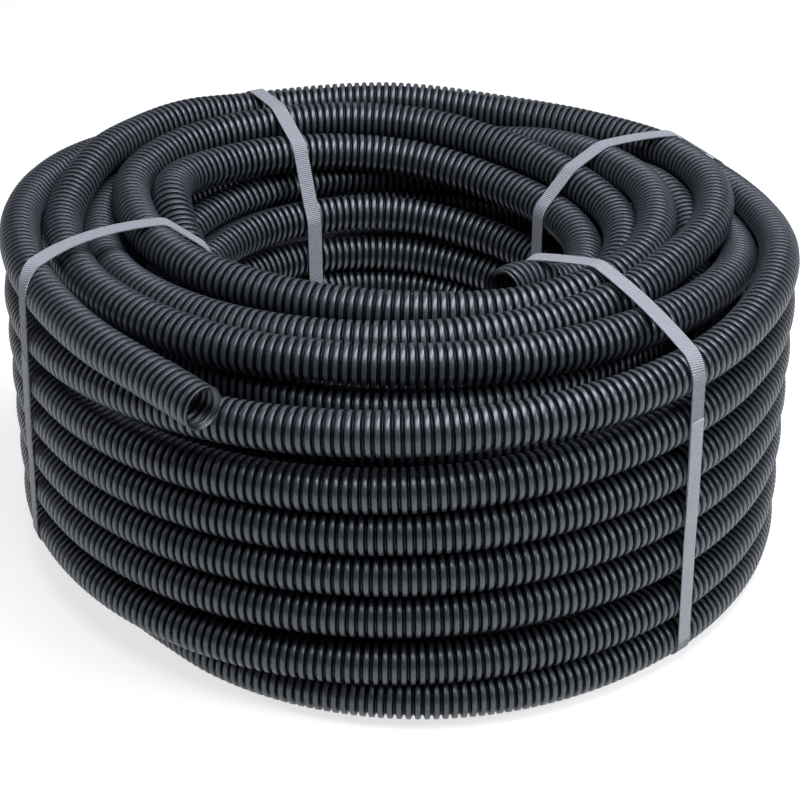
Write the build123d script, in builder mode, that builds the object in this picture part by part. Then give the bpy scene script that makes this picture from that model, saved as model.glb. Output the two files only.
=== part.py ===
"""Coil of corrugated conduit, tied with four woven straps.

The coil lies flat, its axis upright. +Z is up, the origin is on the floor at
the coil's axis, +X is to the right and the outer free end lies at the front left.
"""
import os
from math import cos, pi, radians, sin, tan

from build123d import *

os.makedirs("parts", exist_ok=True)

# Conduit: thin-walled tube with ring corrugations, named by its crest diameter
conduit_diameter = 32.0
rib_pitch = 6.4
rib_crest = 3.2
rib_trough = 1.6
rib_depth = 3.0
wall = 0.8

# Winding: 5 layers of 7 turns, the inner layers packed a little higher
coil_diameter = 620.0
layers = 5
layer_pitch = 34.3
rows = 7
outer_row_pitch = 36.0
inner_row_pitch = 39.3

# Straps: woven band, welded where its two ends overlap
strap_width = 12.7
strap_thickness = 0.8
weld_overlap = 70.0
weld_height = 180.0

# Places round the coil, in degrees from +X
strap_azimuths = {
    "strap_left": -157.0,
    "strap_front_right": -46.0,
    "strap_back_left": 118.0,
    "strap_back_right": 28.0,
}

# Outer free end: one more stretch of turn on top, then off the coil to its mouth
outer_end_lift = 3.0
outer_end_start = 150.0
outer_end_leave = -150.0
outer_end_bend = -123.0
outer_end_reach = 15.0
outer_end_drop = 3.0
outer_end_run = 38.0
outer_end_ribs = 2

# Inner free end: inside the bore, beside the topmost inner turn
inner_end_drop = 6.0
inner_end_gap = 4.0
inner_end_start = -10.0
inner_end_leave = -38.0
inner_end_run = 19.0
inner_end_ribs = 1

# Room between pieces that lie against each other
fit_clearance = 0.3

# Sizes that follow
crest_radius = conduit_diameter / 2
bore_radius = crest_radius - rib_depth - wall
turn_land = conduit_diameter * tan(pi / 8)
turn_corner = crest_radius / cos(pi / 8)
bore_corner = bore_radius / cos(pi / 8)
outer_radius = coil_diameter / 2 - crest_radius
inner_radius = outer_radius - (layers - 1) * layer_pitch
second_radius = outer_radius - layer_pitch
floor_height = strap_thickness + fit_clearance + crest_radius
outer_top = floor_height + (rows - 1) * outer_row_pitch
inner_top = floor_height + (rows - 1) * inner_row_pitch
outer_end_height = outer_top + conduit_diameter + outer_end_lift
inner_end_radius = inner_radius - crest_radius - turn_corner - inner_end_gap
inner_end_height = inner_top - inner_end_drop
rib_flank = (rib_pitch - rib_crest - rib_trough) / 2


def place(radius, azimuth, height):
    """Point at a radius from the coil's axis, an azimuth and a height."""
    return (radius * cos(radians(azimuth)), radius * sin(radians(azimuth)), height)


def land(turn, outward):
    """The two ends of a turn's crest land, anticlockwise round the section."""
    out_x, out_z = outward
    side_x, side_z = -out_z, out_x
    middle = (turn[0] + crest_radius * out_x, turn[1] + crest_radius * out_z)
    half = turn_land / 2
    return [
        (middle[0] - half * side_x, middle[1] - half * side_z),
        (middle[0] + half * side_x, middle[1] + half * side_z),
    ]


def face_outline(turns, outward):
    """Crest lands of one face of the coil, with a vee between neighbours."""
    points = []
    for turn in turns:
        start, end = land(turn, outward)
        if points:
            last = points[-1]
            gap = abs(start[0] - last[0]) + abs(start[1] - last[1])
            middle_x = (last[0] + start[0]) / 2
            middle_z = (last[1] + start[1]) / 2
            points.append((middle_x - outward[0] * gap / 2, middle_z - outward[1] * gap / 2))
        points += [start, end]
    return points


def corrugated(ribs):
    """Section of a corrugated wall along +Y, cut through a crest: outside, then inside."""
    trough_radius = crest_radius - rib_depth
    outside = [(trough_radius, 0)]
    for rib in range(ribs):
        foot = rib * rib_pitch + rib_trough / 2
        outside.append((trough_radius, foot))
        outside.append((crest_radius, foot + rib_flank))
        outside.append((crest_radius, foot + rib_flank + rib_crest))
        outside.append((trough_radius, foot + 2 * rib_flank + rib_crest))
    last_foot = ribs * rib_pitch + rib_trough / 2
    outside.append((trough_radius, last_foot))
    outside.append((crest_radius, last_foot + rib_flank))
    outside.append((crest_radius, last_foot + rib_flank + rib_crest / 2))
    inside = [(radius - wall, along) for radius, along in reversed(outside)]
    return outside + inside


def free_end(route, ribs):
    """Hollow end of the conduit, closed where it comes from the coil, open and ribbed at its mouth."""
    out = route % 1
    level = Vector(out.Y, -out.X, 0).normalized()
    mouth = Plane(origin=route @ 1, x_dir=level, z_dir=level.cross(out))
    start = Plane(origin=route @ 0, x_dir=(0, 0, 1), z_dir=route % 0)
    with BuildPart() as end:
        with BuildSketch(start):
            RegularPolygon(turn_corner, 8, rotation=22.5)
            RegularPolygon(bore_corner, 8, rotation=22.5, mode=Mode.SUBTRACT)
        sweep(path=route)
        with BuildSketch(start):
            RegularPolygon(bore_corner + wall, 8, rotation=22.5)
        extrude(amount=wall)
        with BuildSketch(mouth):
            with BuildLine():
                Polyline(*corrugated(ribs), close=True)
            make_face()
        revolve(axis=Axis(mouth.origin, mouth.y_dir))
    return end.part


# The coil: one turned solid with its bore, its turns showing on the ends and outside
layer_radii = [inner_radius + layer * layer_pitch for layer in range(layers)]
under = [(radius, floor_height) for radius in layer_radii]
outside = [(outer_radius, floor_height + row * outer_row_pitch) for row in range(rows)]
over = [(radius, inner_top) for radius in reversed(layer_radii[:-1])]
bore_top = (inner_radius - crest_radius, inner_top + turn_land / 2)
bore_foot = (inner_radius - crest_radius, floor_height - turn_land / 2)
outer_step = land((outer_radius, outer_top), (0, 1))
second_side = second_radius + crest_radius
step_foot = (second_side, outer_step[1][1] - (outer_step[1][0] - second_side))
step_top = land((second_radius, inner_top), (1, 0))[1]

with BuildPart() as coil:
    with BuildSketch(Plane.XZ):
        with BuildLine():
            Polyline(
                *face_outline(under, (0, -1)),
                *face_outline(outside, (1, 0)),
                *outer_step,
                step_foot,
                step_top,
                *face_outline(over, (0, 1)),
                bore_top,
                bore_foot,
                close=True,
            )
        make_face()
    revolve(axis=Axis.Z)

# The outer free end: round the top of the coil, then off it to the open mouth
leave_point = place(outer_radius, outer_end_leave, outer_end_height)
bend_point = place(
    outer_radius + outer_end_reach, outer_end_bend, outer_end_height - outer_end_drop
)
with BuildLine() as outer_route:
    outer_turn = CenterArc(
        (0, 0, outer_end_height),
        outer_radius,
        outer_end_start,
        outer_end_leave + 360 - outer_end_start,
    )
    outer_bend = TangentArc(leave_point, bend_point, tangent=outer_turn % 1)
    Line(outer_bend @ 1, outer_bend @ 1 + outer_end_run * (outer_bend % 1))
outer_end = free_end(outer_route.wires()[0], outer_end_ribs)

# The inner free end: inside the bore, against the topmost inner turn
with BuildLine() as inner_route:
    inner_turn = CenterArc(
        (0, 0, inner_end_height),
        inner_end_radius,
        inner_end_start,
        inner_end_leave - inner_end_start,
    )
    Line(inner_turn @ 1, inner_turn @ 1 + inner_end_run * (inner_turn % 1))
inner_end = free_end(inner_route.wires()[0], inner_end_ribs)

# One length of conduit: the coil and its two free ends share a node
with BuildPart() as conduit:
    add(coil.part)
    add(outer_end)
    add(inner_end)
conduit.part.label = "conduit"
export_step(conduit.part, "parts/conduit.step")

# The straps: each drawn taut round the section of the coil where it stands
bundle_corners = [
    (inner_radius, floor_height),
    (outer_radius, floor_height),
    (outer_radius, outer_top),
    (second_radius, inner_top),
    (inner_radius, inner_top),
]
tied_ends = {
    "strap_left": [(outer_radius, outer_end_height)],
    "strap_front_right": [(inner_end_radius, inner_end_height)],
}
strap_outer_face = outer_radius + crest_radius + fit_clearance + strap_thickness

for name, azimuth in strap_azimuths.items():
    upright = Plane(
        origin=(0, 0, 0),
        x_dir=place(1, azimuth, 0),
        z_dir=place(1, azimuth - 90, 0),
    )
    with BuildSketch(upright) as bundle:
        with Locations(*bundle_corners, *tied_ends.get(name, [])):
            RegularPolygon(turn_corner, 8, rotation=22.5)
        make_hull()
    with BuildSketch(upright) as opening:
        add(bundle.sketch_local)
        offset(amount=fit_clearance, kind=Kind.INTERSECTION)
    with BuildPart() as strap:
        with BuildSketch(upright):
            add(bundle.sketch_local)
            offset(amount=fit_clearance + strap_thickness, kind=Kind.INTERSECTION)
            add(opening.sketch_local, mode=Mode.SUBTRACT)
            with Locations((strap_outer_face + strap_thickness / 2, weld_height)):
                Rectangle(strap_thickness, weld_overlap)
        extrude(amount=strap_width / 2, both=True)
    strap.part.label = name
    export_step(strap.part, f"parts/{name}.step")
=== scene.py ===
"""Looks of the coil of corrugated conduit: ribbed turns, open ends and woven straps.

Routes are in conduit diameters and degrees round the coil, from +X towards the
back. The front, which the camera faces, is at -90.
"""
from math import pi

import bpy
import numpy as np
from mathutils import Matrix, Vector

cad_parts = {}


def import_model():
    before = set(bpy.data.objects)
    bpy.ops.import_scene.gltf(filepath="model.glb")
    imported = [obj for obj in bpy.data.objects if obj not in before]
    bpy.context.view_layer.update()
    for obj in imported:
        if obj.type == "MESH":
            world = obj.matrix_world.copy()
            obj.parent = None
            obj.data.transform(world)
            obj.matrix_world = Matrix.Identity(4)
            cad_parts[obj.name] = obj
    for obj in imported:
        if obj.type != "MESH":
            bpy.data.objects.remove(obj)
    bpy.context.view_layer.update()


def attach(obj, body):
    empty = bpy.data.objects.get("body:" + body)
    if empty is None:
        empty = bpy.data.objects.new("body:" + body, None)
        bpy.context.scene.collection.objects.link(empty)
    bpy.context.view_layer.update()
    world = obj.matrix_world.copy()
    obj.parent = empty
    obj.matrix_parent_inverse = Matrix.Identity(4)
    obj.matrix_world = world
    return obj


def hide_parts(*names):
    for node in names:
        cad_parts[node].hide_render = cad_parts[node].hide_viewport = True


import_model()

# Conduit, in metres
DIAMETER = 0.032
RIB_PITCH = 0.0064
RIB_DEPTH = 0.003
WALL = 0.0008
RIM_BEVEL = 0.0001
MOUTH_RIBS = 7
MOUTH_LENGTH = (MOUTH_RIBS + 0.5) * RIB_PITCH
MOUTH_SIDES = 40

# A rib's rings: each one's place along the pitch, depth below the crest and lean of its normal
FINE_RIB = (
    (0.10, RIB_DEPTH, -72),
    (0.23, 0.0005, -66),
    (0.30, 0.0, -12),
    (0.70, 0.0, 12),
    (0.77, 0.0005, 66),
    (0.90, RIB_DEPTH, 72),
)
PLAIN_RIB = ((0.10, RIB_DEPTH, -70), (0.26, 0.0, -25), (0.74, 0.0, 25), (0.90, RIB_DEPTH, 70))
HIDDEN_RIB = ((0.25, RIB_DEPTH, 0), (0.75, 0.0, 0))

# Sides of a tube's section, in degrees from the coil's outward side towards up, and the tilt
# from one of them where what shows lies between two
OUTWARD, UP, INWARD, DOWN = 0, 90, 180, -90
TILT = 20

# A section's corners, in degrees: how far the shown side reaches each way, the step between
# its corners, and the corners of the hidden side
WIDE, HALF, NARROW = 100, 80, 60
SHOWN_STEP = 20
HIDDEN_CORNERS = (145, 215)

# Straps, in metres: the band, its room over the turns, and its weld's ends and lead-in
STRAP_WIDTH = 0.0127
STRAP_THICKNESS = 0.0008
STRAP_CLEARANCE = 0.0003
WELD_FOOT = 0.145
WELD_TOP = 0.215
WELD_LEAD = 0.03

# Corners of a taut loop, corners of a band's section, and those at the section's far side
LOOP_CORNERS = 180
BAND_CORNERS = 4
FAR_CORNERS = (1, 2)

# Camera, in conduit diameters and radians
CAMERA_PLACE = (0.0, -46.256, 30.246)
CAMERA_PITCH = 0.533
CAMERA_ROLL = 0.003
CAMERA_LENS = 93.9
SENSOR_WIDTH = 36

# Conduit's colours, with painted shade as black in the troughs, its roughness, and how far up a rib
# the crest's colour and roughness begin and are complete
CREST_DARK = (0.023, 0.026, 0.034, 1)
CREST_PALE = (0.068, 0.075, 0.093, 1)
# Black of the troughs: painted shade
TROUGH_PAINTED_SHADE = (0.003, 0.003, 0.0035, 1)
TROUGH_ROUGHNESS = 0.4
CREST_ROUGHNESS = (0.3, 0.42)
CREST_RANGE = (0.8, 0.97)
SHEEN_BLUE = (0.83, 0.9, 1, 1)
CLOUD_SCALE = 14
DUST_SCALE = 900
DUST_RANGE = (0.35, 0.75)
DUST_BUMP = 0.0002
DUST_STRENGTH = 0.15

# Strap's colours between and on its threads, each where it lies single and on its upper layer,
# which is paler as painted light
STRAP_TONES = (
    ((0.22, 0.226, 0.26, 1), (0.42, 0.43, 0.47, 1)),
    ((0.47, 0.48, 0.54, 1), (0.66, 0.67, 0.73, 1)),
)
# Pitches of its cross ribs, of its lengthwise threads and of a wave texture at scale 1, in metres
WEFT_PITCH, WARP_PITCH = 0.0016, 0.0011
WAVE_LENGTH = 0.314
WEAVE_BUMP = 0.0003
STRAP_ROUGHNESS = 0.55

# Studio, in metres and watts: each softbox's place, aim, size and power
LAMPS = (
    ("overhead", (0.3, -0.25, 1.7), (0, -0.05, 0.2), (1.9, 0.75), 36),
    ("right", (1.4, -0.8, 1.1), (0, 0, 0.15), (0.7, 0.7), 10),
    ("left", (-1.5, -0.1, 1.0), (0, 0, 0.15), (0.6, 0.8), 2),
    ("back", (0.0, 1.3, 1.3), (0, 0, 0.2), (1.8, 0.6), 3),
)
LAMP_COLOR = (0.93, 0.96, 1)
FLOOR_REACH = 6
FLOOR_WHITE = (0.5, 0.5, 0.5, 1)
FLOOR_ROUGHNESS = 0.9
GLOW_WHITE = (1, 1, 1, 1)
FLOOR_GLOW = 0.72
WORLD_COLOR = (0.9, 0.95, 1, 1)
WORLD_LIGHT = 0.05

# Azimuths round the coil, in degrees, and the steps between points of a route and of a strap
FRONT, FRONT_RIGHT, RIGHT, BACK, LEFT = -90, -47, 0, 90, 180
TURN = 360
ROUTE_STEP = 0.5
STRAP_STEP = 0.1

# The outer layer rises as one helix: each row's height at the front, front right and left
OUTER_RADIUS = 9.18
OUTER_ROWS = (
    (0.61, 0.59, 1.53),
    (1.57, 1.68, 2.70),
    (2.88, 3.01, 3.76),
    (3.99, 4.17, 4.80),
    (5.07, 5.31, 5.85),
    (6.14, 6.49, 6.88),
)
# It starts under the second row, and its last turn dips at the back before it leaves the coil
OUTER_START = ((-140, 8.3, 0.56), (-128, 8.42, 0.56), (-118, 8.68, 0.57))
OUTER_LAST = (
    (FRONT, 9.18, 7.56),
    (FRONT_RIGHT, 9.18, 7.72),
    (-10, 9.18, 7.8),
    (11, 9.18, 7.45),
    (22, 9.18, 7.35),
    (35, 9.18, 7.25),
    (50, 9.18, 7.05),
    (BACK, 9.18, 6.95),
    (133, 9.18, 7.25),
    (145, 9.18, 7.63),
    (157, 9.18, 7.93),
    (LEFT, 9.18, 8.28),
    (200, 9.18, 8.36),
    (213, 9.22, 8.35),
    (226, 9.4, 8.32),
    (237, 9.656, 8.284),
    (241.9, 9.87, 8.249),
    (246.4, 10.137, 8.213),
)

# The top is one spiral from the inner mouth outwards, dipping where it passes under itself
TOP_SPIRAL = (
    (-51.5, 3.839, 7.716),
    (-45, 3.76, 7.69),
    (-38, 3.8, 7.6),
    (-27, 4.15, 7.3),
    (-14, 4.45, 7.1),
    (RIGHT, 4.56, 7.0),
    (14, 4.66, 7.0),
    (30, 4.76, 7.0),
    (57, 4.95, 7.05),
    (BACK, 5.35, 7.38),
    (117, 5.72, 7.6),
    (140, 6.1, 7.76),
    (156, 6.25, 7.9),
    (168, 5.85, 7.93),
    (LEFT, 5.38, 7.62),
    (200, 5.1, 7.25),
    (FRONT + TURN, 4.9, 7.0),
    (320, 5.0, 7.1),
    (RIGHT + TURN, 5.5, 7.5),
    (17 + TURN, 5.62, 7.5),
    (34 + TURN, 5.55, 7.62),
    (62 + TURN, 5.9, 7.7),
    (BACK + TURN, 6.5, 7.87),
    (117 + TURN, 6.95, 7.97),
    (147 + TURN, 7.38, 8.0),
    (158 + TURN, 7.25, 8.0),
    (LEFT + TURN, 6.4, 8.02),
    (213 + TURN, 5.4, 8.1),
    (233 + TURN, 4.97, 8.1),
    (FRONT + 2 * TURN, 4.8, 8.08),
    (309 + TURN, 5.42, 8.05),
    (325 + TURN, 5.78, 8.1),
    (RIGHT + 2 * TURN, 6.27, 8.12),
    (15 + 2 * TURN, 6.45, 8.07),
    (33 + 2 * TURN, 6.5, 7.96),
    (53 + 2 * TURN, 6.85, 7.6),
    (70 + 2 * TURN, 7.2, 7.15),
    (BACK + 2 * TURN, 7.4, 6.88),
    (130 + 2 * TURN, 7.75, 6.92),
    (158 + 2 * TURN, 7.9, 7.35),
    (LEFT + 2 * TURN, 7.4, 7.5),
    (225 + 2 * TURN, 6.5, 7.85),
    (FRONT + 3 * TURN, 5.98, 7.95),
    (320 + 2 * TURN, 6.35, 7.97),
    (340 + 2 * TURN, 6.78, 8.05),
    (RIGHT + 3 * TURN, 7.6, 8.05),
    (17 + 3 * TURN, 8.17, 8.02),
    (30 + 3 * TURN, 8.3, 7.95),
    (50 + 3 * TURN, 8.1, 7.82),
    (70 + 3 * TURN, 7.95, 7.78),
    (BACK + 3 * TURN, 8.02, 7.9),
    (121 + 3 * TURN, 8.45, 7.9),
    (133 + 3 * TURN, 8.52, 8.12),
    (145 + 3 * TURN, 8.5, 8.2),
    (157 + 3 * TURN, 8.38, 8.3),
    (168 + 3 * TURN, 8.28, 8.22),
    (LEFT + 3 * TURN, 8.27, 8.07),
    (190 + 3 * TURN, 8.14, 8.02),
    (200 + 3 * TURN, 7.98, 7.98),
    (225 + 3 * TURN, 7.55, 7.98),
    (FRONT + 4 * TURN, 7.0, 7.95),
    (320 + 3 * TURN, 7.45, 7.78),
    (343 + 3 * TURN, 8.02, 7.6),
    (357 + 3 * TURN, 8.28, 7.3),
    (7 + 4 * TURN, 8.36, 7.08),
    (45 + 4 * TURN, 8.4, 6.8),
    (BACK + 4 * TURN, 8.35, 6.78),
    (LEFT + 4 * TURN, 8.15, 6.85),
    (FRONT + 5 * TURN, 8.1, 6.5),
    (RIGHT + 5 * TURN, 8.1, 6.1),
)
# Where along the spiral it is split in two pieces, as parts of its whole length
SPIRAL_SPLIT = 0.45

# The bore's wall: where it comes in from the next layer, heights of its rows at the back, how a
# row climbs to the next one, and how many stations at its end would be hidden at the front
BORE_START = ((15, 5.94, 0.56), (50, 5.3, 0.56))
BORE_ROWS = (0.56, 1.65, 2.75, 3.78, 4.77, 5.95)
BORE_STEP = 1.1
BORE_CLIMB = (
    (0, 4.85, 0.0),
    (45, 5.08, 0.16),
    (90, 5.15, 0.26),
    (180, 4.9, 0.36),
    (270, 4.8, 0.5),
    (327, 4.8, 0.7),
)
BORE_HIDDEN = 2

# Inside the pack: the turns under the top, on the floor and between them
RECESSED = (
    (FRONT, 7.05, 6.85),
    (-30, 7.05, 6.85),
    (-8, 7.15, 7.15),
    (10, 7.3, 7.42),
    (30, 7.32, 7.45),
    (42, 7.2, 7.1),
    (54, 7.05, 6.85),
    (LEFT, 7.05, 6.85),
    (FRONT + TURN, 7.05, 6.85),
)
UNDER_TOP = (5.97, 6.57)
FLOOR_ROW = 0.56
UNDERSIDE = (8.1, 7.02, 5.94)
PACKED_RADII = (8.2, 7.2, 6.2)
PACKED_ROWS = (1.6, 2.65, 3.7, 4.75, 5.75)

# Each strap over the top, by radius and azimuth, and its azimuth at the inner and the outer foot
STRAPS = {
    "strap_left": (((4.4, -171), (7.05, -165), (9.7, -151)), -166, -158),
    "strap_front_right": (((3.6, -29.5), (5.9, -38.2), (7.7, -42.8), (9.65, -48.6)), -38, -46.6),
    "strap_back_left": (((4.7, 121), (6.6, 118.7), (9.7, 118)), 120, 118),
    "strap_back_right": (((4.4, 33.5), (6.9, 35), (8, 33.5), (9.7, 28)), 35, 28),
}
# Radii at which the straps go down outside and inside, and the height at which they are on top
STRAP_OUTER, STRAP_INNER, STRAP_HIGH = 9.7, 4.4, 8.6


def through(stations):
    """Points on a smooth curve through (azimuth, radius, height) stations."""
    azimuth, radius, height = np.array(stations, float).T
    fine = np.append(np.arange(azimuth[0], azimuth[-1], ROUTE_STEP), azimuth[-1])
    left = np.clip(np.searchsorted(azimuth, fine, side="right") - 1, 0, len(azimuth) - 2)
    span = azimuth[left + 1] - azimuth[left]
    t = (fine - azimuth[left]) / span
    columns = []
    for values in (radius, height):
        slope = np.gradient(values, azimuth)
        columns.append(
            (1 + 2 * t) * (1 - t) ** 2 * values[left]
            + t * (1 - t) ** 2 * span * slope[left]
            + t**2 * (3 - 2 * t) * values[left + 1]
            + t**2 * (t - 1) * span * slope[left + 1]
        )
    return around(fine, *columns)


def around(azimuth, radius, height):
    """Points in metres from azimuths in degrees and radii and heights in diameters."""
    turned = np.radians(azimuth)
    return np.stack([radius * np.cos(turned), radius * np.sin(turned), height], axis=-1) * DIAMETER


def level_turn(radius, height):
    """One closed turn at a radius and a height."""
    return through([(FRONT + ahead, radius, height) for ahead in range(0, TURN + 1, TURN // 8)])


def outer_helix():
    """The outer layer, from its start under the coil to its open end on top."""
    stations = list(OUTER_START)
    for row, (front, front_right, left) in enumerate(OUTER_ROWS):
        stations.append((FRONT + row * TURN, OUTER_RADIUS, front))
        stations.append((FRONT_RIGHT + row * TURN, OUTER_RADIUS, front_right))
        stations.append((LEFT + row * TURN, OUTER_RADIUS, left))
    last = len(OUTER_ROWS) * TURN
    stations += [(azimuth + last, radius, height) for azimuth, radius, height in OUTER_LAST]
    return through(stations)


def bore_wall():
    """The turns that show inside the bore, below the top."""
    stations = list(BORE_START)
    for row, height in enumerate(BORE_ROWS):
        above = BORE_ROWS[row + 1] if row + 1 < len(BORE_ROWS) else height + BORE_STEP
        for ahead, radius, part in BORE_CLIMB:
            stations.append((BACK + row * TURN + ahead, radius, height + part * (above - height)))
    return through(stations[:-BORE_HIDDEN])


def along(points, distances):
    """Places and directions at distances along a line of points."""
    runs = np.linalg.norm(np.diff(points, axis=0), axis=1)
    marks = np.append(0.0, np.cumsum(runs))
    directions = np.gradient(points, marks, axis=0)
    places = np.stack([np.interp(distances, marks, column) for column in points.T], axis=1)
    headings = np.stack([np.interp(distances, marks, column) for column in directions.T], axis=1)
    return places, headings / np.linalg.norm(headings, axis=1)[:, None]


def length_of(points):
    """Length of a line of points."""
    return np.linalg.norm(np.diff(points, axis=0), axis=1).sum()


def rings(places, headings, radii, leans, angles):
    """Rings of points round a line, and their normals; angles turn from outward to up."""
    outward = np.cross(headings, (0, 0, 1))
    outward /= np.linalg.norm(outward, axis=1)[:, None]
    up = np.cross(outward, headings)
    cosines, sines = np.cos(angles)[None, :, None], np.sin(angles)[None, :, None]
    reach = cosines * outward[:, None] + sines * up[:, None]
    lean = np.radians(leans)[:, None, None]
    points = places[:, None] + radii[:, None, None] * reach
    normals = np.cos(lean) * reach + np.sin(lean) * headings[:, None]
    return points, normals


def skin(ring_points):
    """Vertices and quads of a tube through rings of points, its ends closed by a face."""
    count, sides = ring_points.shape[:2]
    first = np.arange(count - 1)[:, None] * sides
    side = np.arange(sides)[None, :]
    after = (side + 1) % sides
    corners = [first + side, first + sides + side, first + sides + after, first + after]
    faces = np.stack(corners, axis=-1).reshape(-1, len(corners)).tolist()
    faces.append(list(range(sides)))
    faces.append(list(range((count - 1) * sides, count * sides))[::-1])
    return ring_points.reshape(-1, 3), faces


def piece(name, ring_points, material):
    """A smooth-shaded mesh through rings of points, which rides with the coil."""
    vertices, faces = skin(ring_points)
    mesh = bpy.data.meshes.new(name)
    mesh.from_pydata(vertices.tolist(), [], faces)
    mesh.shade_smooth()
    mesh.materials.append(material)
    made = bpy.data.objects.new(name, mesh)
    bpy.context.scene.collection.objects.link(made)
    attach(made, "root")
    return made


def corrugated(name, ring_points, normals, crests):
    """A stretch of conduit, which knows for each ring how far up a crest it lies, for its roughness
    and the painted shade in its troughs.
    """
    made = piece(name, ring_points, plastic)
    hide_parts("conduit")
    made.data.normals_split_custom_set_from_vertices(normals.reshape(-1, 3).tolist())
    crest = made.data.attributes.new("crest", "FLOAT", "POINT")
    crest.data.foreach_set("value", np.repeat(crests, ring_points.shape[1]))


def facing(direction, spread):
    """Angles round a tube, close together on the side that shows."""
    shown = np.arange(-spread, spread + 1, SHOWN_STEP)
    return np.radians(direction + np.append(shown, HIDDEN_CORNERS))


def rib_rings(ribs, profile):
    """Distances in pitches, depths and leans of the rings of some ribs, from trough to trough."""
    marks, depths, leans = np.array(profile).T
    marks = (np.arange(ribs)[:, None] + marks[None, :]).ravel()
    return (
        np.concatenate([[0], marks, [ribs]]),
        np.concatenate([[RIB_DEPTH], np.tile(depths, ribs), [RIB_DEPTH]]),
        np.concatenate([[0], np.tile(leans, ribs), [0]]),
    )


def turns(name, route, shows, profile=FINE_RIB, spread=WIDE):
    """Closed stretch of corrugated conduit along a route."""
    length = length_of(route)
    ribs = round(length / RIB_PITCH)
    marks, depths, leans = rib_rings(ribs, profile)
    places, headings = along(route, marks * length / ribs)
    points, normals = rings(places, headings, DIAMETER / 2 - depths, leans, facing(shows, spread))
    corrugated(name, points, normals, 1 - depths / RIB_DEPTH)


def mouth(name, route):
    """Open end of the conduit: ribbed outside and inside, cut through a crest."""
    marks, depths, leans = rib_rings(MOUTH_RIBS + 1, FINE_RIB)
    kept = marks < MOUTH_RIBS + 0.5
    marks, depths, leans = marks[kept] * RIB_PITCH, depths[kept], leans[kept]
    outside = DIAMETER / 2 - depths
    crest = DIAMETER / 2
    rim_marks = (MOUTH_LENGTH - RIM_BEVEL, MOUTH_LENGTH, MOUTH_LENGTH, MOUTH_LENGTH - RIM_BEVEL)
    rim_radii = (crest, crest - RIM_BEVEL, crest - WALL + RIM_BEVEL, crest - WALL)
    distances = np.concatenate([marks, rim_marks, marks[::-1]])
    radii = np.concatenate([outside, rim_radii, outside[::-1] - WALL])
    places, headings = along(route, length_of(route) - MOUTH_LENGTH + distances)
    angles = np.linspace(0, 2 * pi, MOUTH_SIDES, endpoint=False)
    points, normals = rings(places, headings, radii, np.resize(leans, len(radii)), angles)
    # A zero normal leaves the shading of the rim and the inside to the mesh
    normals[len(marks):] = 0
    sunk = depths / RIB_DEPTH
    crests = np.concatenate([1 - sunk, np.ones(len(rim_radii)), sunk[::-1]])
    corrugated(name, points, normals, crests)


def shortened(route, start=0.0, end=0.0):
    """The route without a length at its start or end."""
    whole = length_of(route)
    return along(route, np.linspace(start, whole - end, len(route)))[0]


def strap_azimuth(course, radius, height):
    """Azimuth of a strap at a radius and height: a parabola over the top, blending to its foot."""
    over_top, inner_foot, outer_foot = course
    radii, azimuths = np.array(over_top).T
    top = np.polynomial.Polynomial.fit(radii, azimuths, 2)(np.clip(radius, radii[0], radii[-1]))
    inward = np.clip((STRAP_OUTER - radius) / (STRAP_OUTER - STRAP_INNER), 0, 1)
    foot = outer_foot + (inner_foot - outer_foot) * inward
    return foot + (top - foot) * np.clip(height / STRAP_HIGH, 0, 1)


def tubes_under(course, routes):
    """Radius and height of each turn where it passes under a strap's middle and edges."""
    centres = []
    for route in routes:
        radius, height = np.hypot(route[:, 0], route[:, 1]) / DIAMETER, route[:, 2] / DIAMETER
        azimuth = np.degrees(np.arctan2(route[:, 1], route[:, 0]))
        for side in (-STRAP_WIDTH / 2, 0, STRAP_WIDTH / 2):
            line = strap_azimuth(course, radius, height) + np.degrees(side / (radius * DIAMETER))
            ahead = (azimuth - line + TURN / 2) % TURN - TURN / 2
            crossing = (np.sign(ahead[:-1]) != np.sign(ahead[1:])) & (np.abs(ahead[:-1]) < TURN / 4)
            centres += [(radius[at], height[at]) for at in np.flatnonzero(crossing)]
    return np.array(centres)


def taut_loop(centres):
    """Radii, heights and normals of a taut loop round tubes, from the weld's foot to its top."""
    normals = np.radians(np.linspace(0.5, TURN - 0.5, LOOP_CORNERS))
    out = np.stack([np.cos(normals), np.sin(normals)], axis=1)
    reach = 0.5 + STRAP_CLEARANCE / DIAMETER
    loop = centres[np.argmax(out @ centres.T, axis=1)] + reach * out
    start = (loop[0, 0], WELD_FOOT / DIAMETER)
    end = (loop[-1, 0], WELD_TOP / DIAMETER)
    return np.concatenate([[start], loop, [end]]), np.concatenate([[0.0], normals, [2 * pi]])


def strap_band(name, course, routes):
    """Band drawn taut round the turns, its upper end welded over its lower one."""
    loop, normals = taut_loop(tubes_under(course, routes))
    runs = np.append(0.0, np.cumsum(np.linalg.norm(np.diff(loop, axis=0), axis=1)))
    fine = np.unique(np.concatenate([runs, np.arange(0, runs[-1], STRAP_STEP)]))
    radius, height = (np.interp(fine, runs, column) for column in loop.T)
    normal = np.interp(fine, runs, normals)
    last_corner = runs[-2]
    overlapped = np.clip((height * DIAMETER - WELD_FOOT + WELD_LEAD) / WELD_LEAD, 0, 1)
    lifted = np.where(fine >= last_corner, overlapped, 0) * STRAP_THICKNESS / DIAMETER
    radius = radius + lifted

    azimuth = strap_azimuth(course, radius, height)
    middle = around(azimuth, radius, height)
    outward = around(azimuth, np.cos(normal), np.sin(normal)) / DIAMETER
    heading = np.gradient(middle, fine, axis=0)
    heading /= np.linalg.norm(heading, axis=1)[:, None]
    across = np.cross(heading, outward)
    across /= np.linalg.norm(across, axis=1)[:, None]
    outward = np.cross(across, heading)
    side = across * STRAP_WIDTH / 2
    top = outward * STRAP_THICKNESS
    corners = [middle - side, middle + side, middle + side + top, middle - side + top]
    made = piece(name + "_band", np.stack(corners, axis=1), woven)
    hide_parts(name)
    finish_band(made.data, fine * DIAMETER, fine > last_corner)


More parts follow.
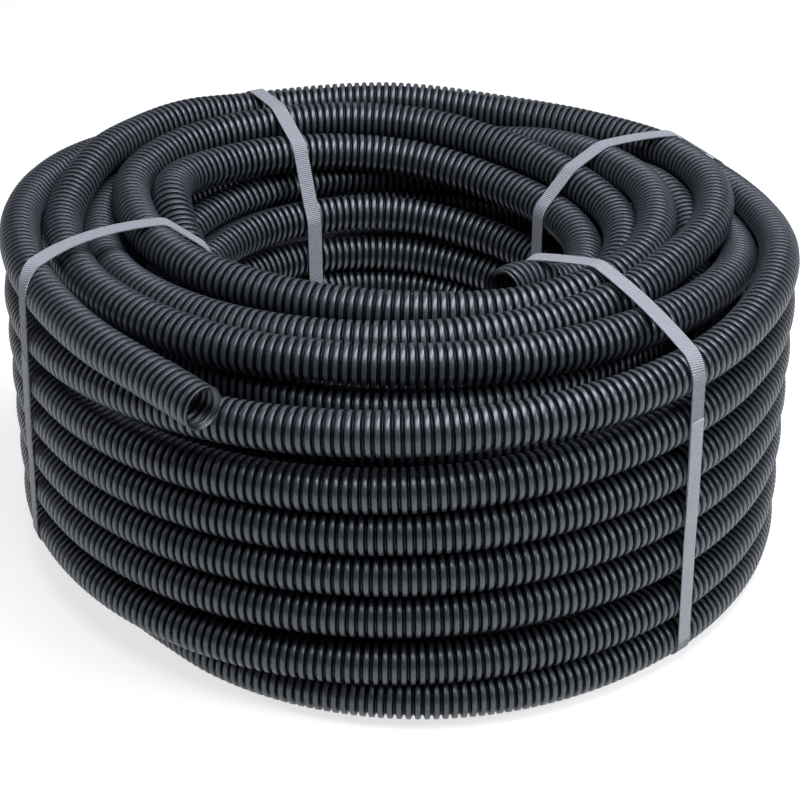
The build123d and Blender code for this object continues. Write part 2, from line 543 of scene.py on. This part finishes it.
def finish_band(mesh, lengths, on_painted_light_layer):
    """Crisp edges along the band, its weave's coordinates in metres, and its upper layer, for its
    painted light.
    """
    crisp = mesh.attributes.new("sharp_edge", "BOOLEAN", "EDGE")
    ends = np.array([edge.vertices[:] for edge in mesh.edges]) % BAND_CORNERS
    crisp.data.foreach_set("value", ends[:, 0] == ends[:, 1])
    weave = mesh.uv_layers.new(name="weave")
    corner = np.array([loop.vertex_index for loop in mesh.loops])
    lengthwise = lengths[corner // BAND_CORNERS]
    across = np.isin(corner % BAND_CORNERS, FAR_CORNERS) * STRAP_WIDTH
    weave.data.foreach_set("uv", np.stack([lengthwise, across], axis=1).ravel())
    # The upper layer, which the strap's material paints paler as painted light
    upper = mesh.attributes.new("painted_light_layer", "FLOAT", "POINT")
    upper.data.foreach_set("value", np.repeat(on_painted_light_layer.astype(float), BAND_CORNERS))


def new_material(name):
    """A material, its Principled shader and its tree's links."""
    material = bpy.data.materials.new(name)
    material.use_nodes = True
    tree = material.node_tree
    return material, tree.nodes["Principled BSDF"], tree.links


def add_node(owner, kind, **values):
    """A node in a material's or the world's tree, with its inputs' values set."""
    node = owner.node_tree.nodes.new("ShaderNode" + kind)
    for name, value in values.items():
        node.inputs[name.replace("_", " ")].default_value = value
    return node


def read_attribute(material, name):
    """The value of a mesh's attribute."""
    node = add_node(material, "Attribute")
    node.attribute_name = name
    return node.outputs["Fac"]


def conduit_material():
    """Black plastic: crests satin grey and a little dusty, troughs painted black as shade."""
    material, shader, links = new_material("conduit_plastic")
    shader.inputs["Specular IOR Level"].default_value = 1.0
    shader.inputs["Specular Tint"].default_value = SHEEN_BLUE

    # How far up a rib each point lies, which sets the roughness and fades the troughs' painted
    # shade into the crest's colour
    crest_mask = add_node(material, "MapRange", From_Min=CREST_RANGE[0], From_Max=CREST_RANGE[1])
    crest_mask.interpolation_type = "SMOOTHSTEP"
    links.new(read_attribute(material, "crest"), crest_mask.inputs["Value"])

    place = add_node(material, "TexCoord")
    cloud = add_node(material, "TexNoise", Scale=CLOUD_SCALE, Detail=4)
    links.new(place.outputs["Object"], cloud.inputs["Vector"])
    satin = add_node(material, "MapRange", To_Min=CREST_ROUGHNESS[0], To_Max=CREST_ROUGHNESS[1])
    links.new(cloud.outputs["Fac"], satin.inputs["Value"])
    gloss = add_node(material, "MapRange", To_Min=TROUGH_ROUGHNESS)
    links.new(crest_mask.outputs["Result"], gloss.inputs["Value"])
    links.new(satin.outputs["Result"], gloss.inputs["To Max"])
    links.new(gloss.outputs["Result"], shader.inputs["Roughness"])

    dust = add_node(material, "TexNoise", Scale=DUST_SCALE, Detail=2)
    links.new(place.outputs["Object"], dust.inputs["Vector"])
    worn = add_node(material, "ValToRGB")
    dark, pale = worn.color_ramp.elements
    dark.position, pale.position = DUST_RANGE
    dark.color, pale.color = CREST_DARK, CREST_PALE
    links.new(dust.outputs["Fac"], worn.inputs["Fac"])
    # Painted shade: the troughs are black, the crests keep their dusty grey
    tone = add_node(material, "MixRGB", Color1=TROUGH_PAINTED_SHADE)
    links.new(crest_mask.outputs["Result"], tone.inputs["Fac"])
    links.new(worn.outputs["Color"], tone.inputs["Color2"])
    links.new(tone.outputs["Color"], shader.inputs["Base Color"])

    grain = add_node(material, "Bump", Strength=DUST_STRENGTH, Distance=DUST_BUMP)
    links.new(dust.outputs["Fac"], grain.inputs["Height"])
    links.new(grain.outputs["Normal"], shader.inputs["Normal"])
    return material


def strap_material():
    """Grey woven band: cross ribs of the weft over fine lengthwise threads, its upper layer paler
    as painted light.
    """
    material, shader, links = new_material("woven_strap")
    shader.inputs["Roughness"].default_value = STRAP_ROUGHNESS

    weave = add_node(material, "UVMap")
    weave.uv_map = "weave"
    threads = []
    for axis, pitch in (("X", WEFT_PITCH), ("Y", WARP_PITCH)):
        wave = add_node(material, "TexWave", Scale=WAVE_LENGTH / pitch)
        wave.bands_direction = axis
        links.new(weave.outputs["UV"], wave.inputs["Vector"])
        threads.append(wave.outputs["Fac"])
    weft, warp = threads

    woven_tone = add_node(material, "MixRGB")
    links.new(weft, woven_tone.inputs["Fac"])
    # Paler tones on the upper layer: painted light
    upper = read_attribute(material, "painted_light_layer")
    for part, (single, over) in zip(("Color1", "Color2"), STRAP_TONES):
        tone = add_node(material, "MixRGB", Color1=single, Color2=over)
        links.new(upper, tone.inputs["Fac"])
        links.new(tone.outputs["Color"], woven_tone.inputs[part])
    links.new(woven_tone.outputs["Color"], shader.inputs["Base Color"])

    crossed = add_node(material, "Math")
    crossed.operation = "MULTIPLY"
    links.new(weft, crossed.inputs[0])
    links.new(warp, crossed.inputs[1])
    height = add_node(material, "Math")
    height.operation = "ADD"
    links.new(weft, height.inputs[0])
    links.new(crossed.outputs["Value"], height.inputs[1])
    relief = add_node(material, "Bump", Strength=1.0, Distance=WEAVE_BUMP)
    links.new(height.outputs["Value"], relief.inputs["Height"])
    links.new(relief.outputs["Normal"], shader.inputs["Normal"])
    return material


def floor_paint():
    """White paint, bright of itself where it is seen or mirrored, so that its shadow is faint."""
    paint, shader, links = new_material("floor_paint")
    shader.inputs["Base Color"].default_value = FLOOR_WHITE
    shader.inputs["Roughness"].default_value = FLOOR_ROUGHNESS
    shader.inputs["Emission Color"].default_value = GLOW_WHITE
    ray = add_node(paint, "LightPath")
    seen = add_node(paint, "Math")
    seen.operation = "MAXIMUM"
    links.new(ray.outputs["Is Camera Ray"], seen.inputs[0])
    links.new(ray.outputs["Is Glossy Ray"], seen.inputs[1])
    glow = add_node(paint, "Math")
    glow.operation = "MULTIPLY"
    glow.inputs[1].default_value = FLOOR_GLOW
    links.new(seen.outputs["Value"], glow.inputs[0])
    links.new(glow.outputs["Value"], shader.inputs["Emission Strength"])
    return paint


def floor():
    """A wide white floor."""
    reach = FLOOR_REACH
    mesh = bpy.data.meshes.new("floor")
    corners = [(-reach, -reach, 0), (reach, -reach, 0), (reach, reach, 0), (-reach, reach, 0)]
    mesh.from_pydata(corners, [], [(0, 1, 2, 3)])
    mesh.materials.append(floor_paint())
    made = bpy.data.objects.new("floor", mesh)
    bpy.context.scene.collection.objects.link(made)


def world():
    """A world that is white to the camera and gives a little even light."""
    sky = bpy.data.worlds.new("studio")
    bpy.context.scene.world = sky
    sky.use_nodes = True
    links = sky.node_tree.links
    background = sky.node_tree.nodes["Background"]
    background.inputs["Color"].default_value = WORLD_COLOR
    ray = add_node(sky, "LightPath")
    strength = add_node(sky, "MapRange", To_Min=WORLD_LIGHT)
    links.new(ray.outputs["Is Camera Ray"], strength.inputs["Value"])
    links.new(strength.outputs["Result"], background.inputs["Strength"])


def lamps():
    """The softboxes, each turned to its aim."""
    for name, place, aim, size, power in LAMPS:
        light = bpy.data.lights.new(name, "AREA")
        light.shape = "RECTANGLE"
        light.size, light.size_y = size
        light.energy = power
        light.color = LAMP_COLOR
        lamp = bpy.data.objects.new(name, light)
        bpy.context.scene.collection.objects.link(lamp)
        lamp.location = place
        lamp.rotation_euler = (Vector(aim) - Vector(place)).to_track_quat("-Z", "Y").to_euler()


def camera():
    """The camera at the photograph's place and angle."""
    data = bpy.data.cameras.new("camera")
    data.lens = CAMERA_LENS
    data.sensor_width = SENSOR_WIDTH
    made = bpy.data.objects.new("camera", data)
    bpy.context.scene.collection.objects.link(made)
    place = Matrix.Translation(Vector(CAMERA_PLACE) * DIAMETER)
    tilt = Matrix.Rotation(pi / 2 - CAMERA_PITCH, 4, "X")
    roll = Matrix.Rotation(CAMERA_ROLL, 4, "Z")
    made.matrix_world = place @ tilt @ roll
    bpy.context.scene.camera = made


plastic = conduit_material()
woven = strap_material()

outer = outer_helix()
top = through(TOP_SPIRAL)
bore = bore_wall()
under_top = [through(RECESSED), level_turn(*UNDER_TOP)]
underside = [level_turn(radius, FLOOR_ROW) for radius in UNDERSIDE]

mouth("conduit_outer_mouth", outer)
mouth("conduit_inner_mouth", top[::-1])
outer_body = shortened(outer, end=MOUTH_LENGTH)
top_body = shortened(top, start=MOUTH_LENGTH)

half = len(outer_body) // 2
turns("conduit_outer_lower", outer_body[: half + 1], OUTWARD)
turns("conduit_outer_upper", outer_body[half:], OUTWARD + TILT)
split = round(len(top_body) * SPIRAL_SPLIT)
turns("conduit_top_inner", top_body[: split + 1], UP)
turns("conduit_top_outer", top_body[split:], UP)
turns("conduit_bore_wall", bore, INWARD, spread=HALF)
for number, route in enumerate(under_top, 1):
    turns(f"conduit_under_top_{number}", route, UP + TILT, spread=NARROW)
for number, route in enumerate(underside, 1):
    turns(f"conduit_underside_{number}", route, DOWN, PLAIN_RIB, spread=HALF)
for layer, radius in enumerate(PACKED_RADII, 1):
    for row, height in enumerate(PACKED_ROWS, 1):
        route = level_turn(radius, height)
        profile = PLAIN_RIB if row == len(PACKED_ROWS) else HIDDEN_RIB
        turns(f"conduit_packed_{layer}_{row}", route, UP, profile, spread=NARROW)

for name, course in STRAPS.items():
    strap_band(name, course, [outer, top, bore, *underside])

floor()
world()
lamps()
camera()
bpy.context.scene.view_settings.view_transform = "Standard"
